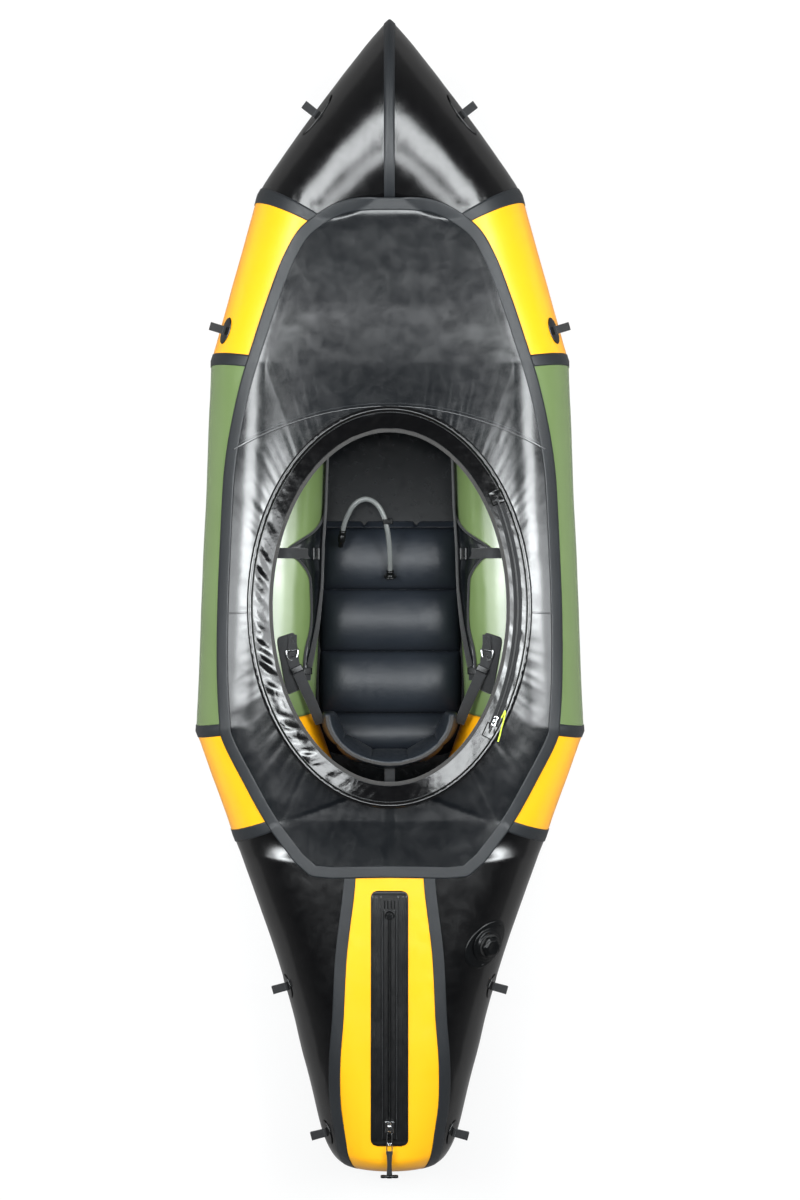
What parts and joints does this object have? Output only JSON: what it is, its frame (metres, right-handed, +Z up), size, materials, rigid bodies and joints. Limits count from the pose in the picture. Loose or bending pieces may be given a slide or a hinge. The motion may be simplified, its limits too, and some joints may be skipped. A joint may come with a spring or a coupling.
{
  "type": "packraft",
  "caption": "Inflatable one-person boat with a decked cockpit, seat pad, backrest, thigh straps, cargo zip and inflation valve.",
  "frame": {"origin": "underside of the floor sheet amidships, on the boat's centre line", "axes": "+Y towards the bow, +X towards the paddler's right, +Z up"},
  "size_m": [0.9676, 2.7936, 0.4121],
  "materials": {
    "black_fabric": "glossy coated nylon",
    "yellow_fabric": "satin coated nylon",
    "green_fabric": "satin coated nylon",
    "seam_tape": "matte welded tape",
    "deck_fabric": "satin coated nylon",
    "collar_fabric": "glossy wrinkled coated nylon",
    "seat_fabric": "satin coated nylon",
    "webbing": "woven webbing",
    "black_plastic": "moulded",
    "rubber": "soft",
    "steel": "polished",
    "clear_hose": "translucent"
  },
  "bodies": {
    "hull": {"backrest_rear_strap": "webbing", "backrest_strap_left": "webbing", "backrest_strap_right": "webbing", "bow_centre_tape": "seam_tape", "bow_joint_tape_left": "seam_tape", "bow_joint_tape_right": "seam_tape", "coaming_collar": "collar_fabric", "coaming_rod": "collar_fabric", "coaming_zip_tape": "webbing", "deck_edge_tape": "seam_tape", "deck_front": "deck_fabric", "deck_rear": "deck_fabric", "floor_sheet": "black_fabric", "front_joint_tape_left": "seam_tape", "front_joint_tape_right": "seam_tape", "hose_mouthpiece": "black_plastic", "hose_nipple": "black_plastic", "hull_bow_left": "black_fabric", "hull_bow_right": "black_fabric", "hull_front_left": "yellow_fabric", "hull_front_right": "yellow_fabric", "hull_mid_left": "green_fabric", "hull_mid_right": "green_fabric", "hull_rear_left": "yellow_fabric", "hull_rear_right": "yellow_fabric", "hull_stern_left": "black_fabric", "hull_stern_right": "black_fabric", "inflation_hose": "clear_hose", "mid_joint_tape_left": "seam_tape", "mid_joint_tape_right": "seam_tape", "rear_bulkhead": "black_fabric", "seat_pad": "seat_fabric", "stern_joint_tape_left": "seam_tape", "stern_joint_tape_right": "seam_tape", "stern_panel_tape_left": "seam_tape", "stern_panel_tape_right": "seam_tape", "stern_top_panel": "yellow_fabric", "strap_patch_left": "black_fabric", "strap_patch_right": "black_fabric", "thigh_strap_left": "seat_fabric", "thigh_strap_right": "seat_fabric", "tie_loop_bow_left": "webbing", "tie_loop_bow_right": "webbing", "tie_loop_front_left": "webbing", "tie_loop_front_right": "webbing", "tie_loop_stern_left": "webbing", "tie_loop_stern_right": "webbing", "tie_loop_tail_left": "webbing", "tie_loop_tail_right": "webbing", "valve_body": "black_plastic", "valve_gasket": "rubber", "zip_base": "black_plastic", "zip_chain": "black_plastic"},
    "backrest": {"backrest": "seat_fabric"},
    "cargo_slider": {"zip_slider": "steel"},
    "cargo_pull": {"zip_pull": "webbing"},
    "rim_slider": {"coaming_zip_slider": "steel"},
    "valve_cap": {"valve_cap": "black_plastic"},
    "ring_left": {"d_ring_left": "steel"},
    "ring_right": {"d_ring_right": "steel"}
  },
  "joints": [
    {"name": "backrest_tilt", "type": "hinge", "parent": "hull", "child": "backrest", "pos_m": [0, -0.39402, 0.0908], "axis": [-1, 0, 0], "range_deg": [-4, 24], "deforming": ["backrest_rear_strap", "backrest_strap_left", "backrest_strap_right"]},
    {"name": "cargo_zip_slide", "type": "slide", "parent": "hull", "child": "cargo_slider", "axis": [0, 0.9983, -0.0581], "range_m": [0, 0.53]},
    {"name": "cargo_pull_flip", "type": "hinge", "parent": "cargo_slider", "child": "cargo_pull", "pos_m": [0, -1.28918, 0.35365], "axis": [-1, 0, 0], "range_deg": [0, 85]},
    {"name": "rim_zip_slide", "type": "hinge", "parent": "hull", "child": "rim_slider", "pos_m": [-0.394, -0.01702, 0.33], "axis": [0, 0, 1], "range_deg": [0, 40]},
    {"name": "valve_turn", "type": "hinge", "parent": "hull", "child": "valve_cap", "pos_m": [0.24077, -0.83141, 0.29517], "axis": [0.5485, -0.1485, 0.8229], "range_deg": [0, 90]},
    {"name": "ring_lift_right", "type": "hinge", "parent": "hull", "child": "ring_right", "pos_m": [0.2356, -0.12164, 0.27003], "axis": [-0.7835, 0.0709, -0.6174], "range_deg": [0, 35], "deforming": ["backrest_strap_right"]},
    {"name": "ring_lift_left", "type": "hinge", "parent": "hull", "child": "ring_left", "pos_m": [-0.2356, -0.12164, 0.27003], "axis": [-0.7835, -0.0709, 0.6174], "range_deg": [0, 35], "deforming": ["backrest_strap_left"]}
  ]
}
